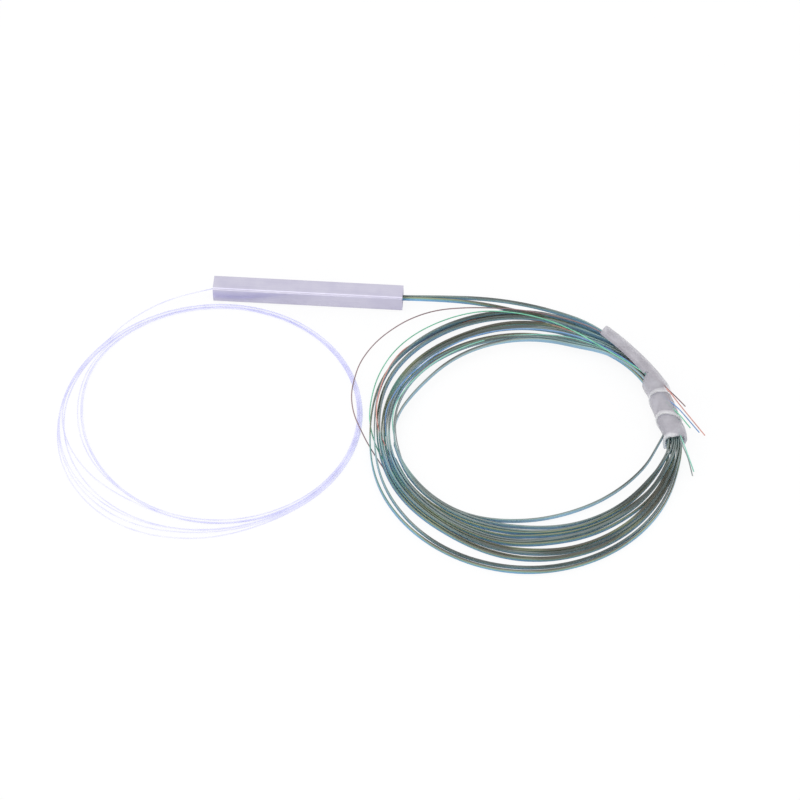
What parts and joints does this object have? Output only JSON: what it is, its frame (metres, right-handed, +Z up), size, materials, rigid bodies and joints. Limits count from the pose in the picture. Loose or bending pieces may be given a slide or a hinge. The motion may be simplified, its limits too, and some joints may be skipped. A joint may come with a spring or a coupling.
{
  "type": "plc fibre splitter",
  "caption": "Bare-fibre planar splitter: a slim metal tube with one clear input fibre and two fibre ribbons, each wound in a flat coil, the ribbons held by a short spiral wrap",
  "frame": {"origin": "middle of the underside of the metal tube, on the ground that the splitter lies on", "axes": "X along the tube from the input fibre toward the output ribbons, Y away from the two coils, Z up"},
  "size_m": [0.1323, 0.0702, 0.005],
  "materials": {
    "tube_metal": "satin stainless tube with a fine drawn grain along it",
    "end_seal": "soft silicone seal, matt",
    "silica": "ground and polished silica",
    "optical_adhesive": "clear cured adhesive",
    "silicone_cushion": "soft silicone bed, matt",
    "bare_glass": "bare glass fibre",
    "clear_coating": "clear fibre coating",
    "ribbon_coating": "clear ribbon coating over four coloured fibres",
    "green_coating": "coloured fibre coating",
    "brown_coating": "coloured fibre coating",
    "orange_coating": "coloured fibre coating",
    "blue_coating": "coloured fibre coating",
    "aqua_coating": "coloured fibre coating",
    "slate_coating": "coloured fibre coating",
    "wrap_plastic": "translucent spiral-cut plastic"
  },
  "bodies": {
    "root": {"metal_tube": "tube_metal", "input_end_seal": "end_seal", "output_end_seal": "end_seal", "splitter_chip": "silica", "input_cover_glass": "silica", "output_cover_glass": "silica", "input_groove_block": "silica", "output_groove_block": "silica", "input_groove_lid": "silica", "output_groove_lid": "silica", "input_fibre_bond": "optical_adhesive", "output_ribbon_bond": "optical_adhesive", "input_cushion": "silicone_cushion", "output_cushion": "silicone_cushion", "input_bare_glass": "bare_glass", "output_bare_glass": "bare_glass", "input_fibre_root": "clear_coating", "input_fibre_lead": "clear_coating", "input_fibre_coil": "clear_coating", "front_ribbon_root": "ribbon_coating", "back_ribbon_root": "ribbon_coating", "front_ribbon_lead": "ribbon_coating", "back_ribbon_lead": "ribbon_coating", "ribbon_coil": "ribbon_coating", "green_fibre_loop": "green_coating", "brown_fibre_loop": "brown_coating", "fibre_end_brown": "brown_coating", "fibre_end_orange": "orange_coating", "fibre_end_blue": "blue_coating", "fibre_end_green": "green_coating", "fibre_end_aqua": "aqua_coating", "fibre_end_slate": "slate_coating", "spiral_wrap": "wrap_plastic"}
  },
  "joints": []
}
